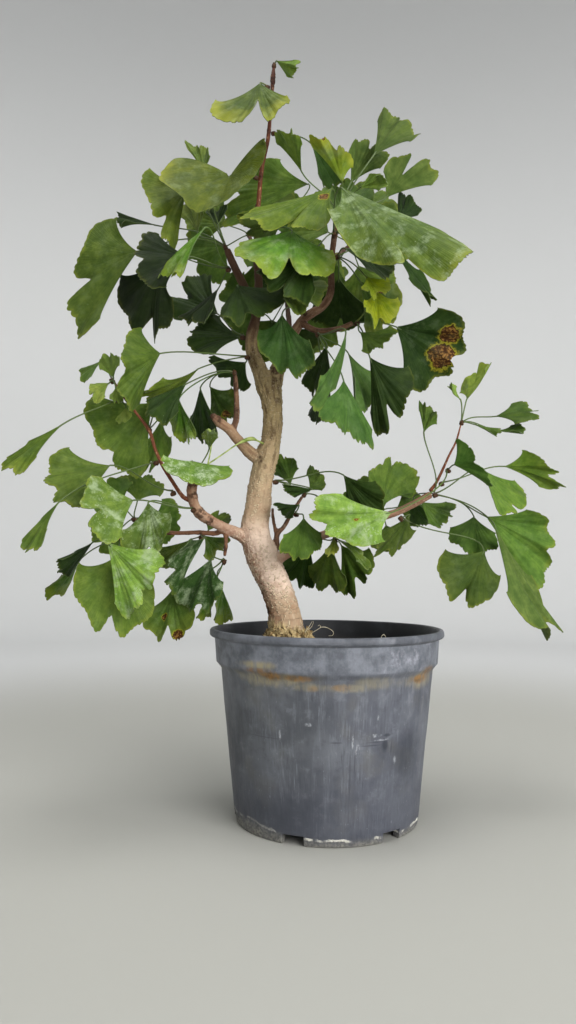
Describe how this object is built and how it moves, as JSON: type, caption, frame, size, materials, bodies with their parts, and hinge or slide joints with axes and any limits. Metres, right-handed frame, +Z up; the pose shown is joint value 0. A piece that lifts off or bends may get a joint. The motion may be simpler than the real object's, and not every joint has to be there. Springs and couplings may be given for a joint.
{
  "type": "ginkgo bonsai",
  "caption": "Young ginkgo trained as a bonsai in a round tapered nursery pot, with a curved trunk, forked crown, side branches and fan-shaped leaves.",
  "frame": {"origin": "middle of the pot's underside, on the surface it stands on", "axes": "+Z up; the tree's front faces -Y and +X is to the right seen from the front"},
  "size_m": [0.4494, 0.2195, 0.6346],
  "materials": {
    "pot_plastic": "weathered matte blue-grey plastic with pale streaks, a rust-coloured band under the collar and lime on the foot",
    "potting_mix": "dark bark-based potting mix",
    "bark": "tan to grey-brown warty bark",
    "young_bark": "smooth red-brown young bark",
    "leaf_dark": "satin deep green leaf with fanned veins",
    "leaf_green": "satin green leaf with fanned veins and a pale margin",
    "leaf_light": "satin yellow-green leaf with fanned veins, some with pale specks"
  },
  "bodies": {
    "root": {"pot": "pot_plastic", "soil": "potting_mix", "trunk": "bark", "shoot_leader": "young_bark", "shoot_left": "young_bark", "shoot_right": "young_bark", "leaves_apex": "leaf_green", "leaves_leader_high": "leaf_light", "leaves_leader_mid": "leaf_dark", "leaves_leader_low": "leaf_light", "leaves_left_top": "leaf_green", "leaves_left_top_low": "leaf_dark", "leaves_crown_tip": "leaf_light", "leaves_crown_front": "leaf_light", "leaves_crown_low": "leaf_dark", "leaves_stem_high": "leaf_light", "leaves_stem_high_back": "leaf_dark", "leaves_stem_low": "leaf_dark", "leaves_fork_bud": "leaf_dark", "leaves_twig_bud": "leaf_dark", "leaves_twig_end": "leaf_green", "leaves_stem_back": "leaf_dark", "leaves_left_stem": "leaf_dark", "leaves_left_stem_low": "leaf_green", "leaves_left_mid": "leaf_dark", "leaves_left_tip": "leaf_light", "leaves_left_bud_d": "leaf_green", "leaves_left_bud_c": "leaf_green", "leaves_left_bud_b": "leaf_green", "leaves_left_bud_a": "leaf_green", "leaves_left_fork": "leaf_light", "leaves_left_stub": "leaf_light", "leaves_low_twig_end": "leaf_green", "leaves_low_twig_mid": "leaf_green", "leaves_low_twig_down": "leaf_dark", "leaves_trunk_bud": "leaf_green", "leaves_right_back_tip": "leaf_dark", "leaves_right_back_mid": "leaf_dark", "leaves_branch_bud_a": "leaf_dark", "leaves_branch_bud_b": "leaf_light", "leaves_branch_bud_c": "leaf_green", "leaves_branch_end": "leaf_green", "leaves_right_bud_a": "leaf_green", "leaves_right_bud_b": "leaf_dark", "leaves_right_tip": "leaf_light", "leaves_back_high": "leaf_dark", "leaves_back_mid": "leaf_dark", "leaves_back_crown": "leaf_dark", "leaves_back_left": "leaf_dark", "leaves_back_right": "leaf_dark"}
  },
  "joints": []
}
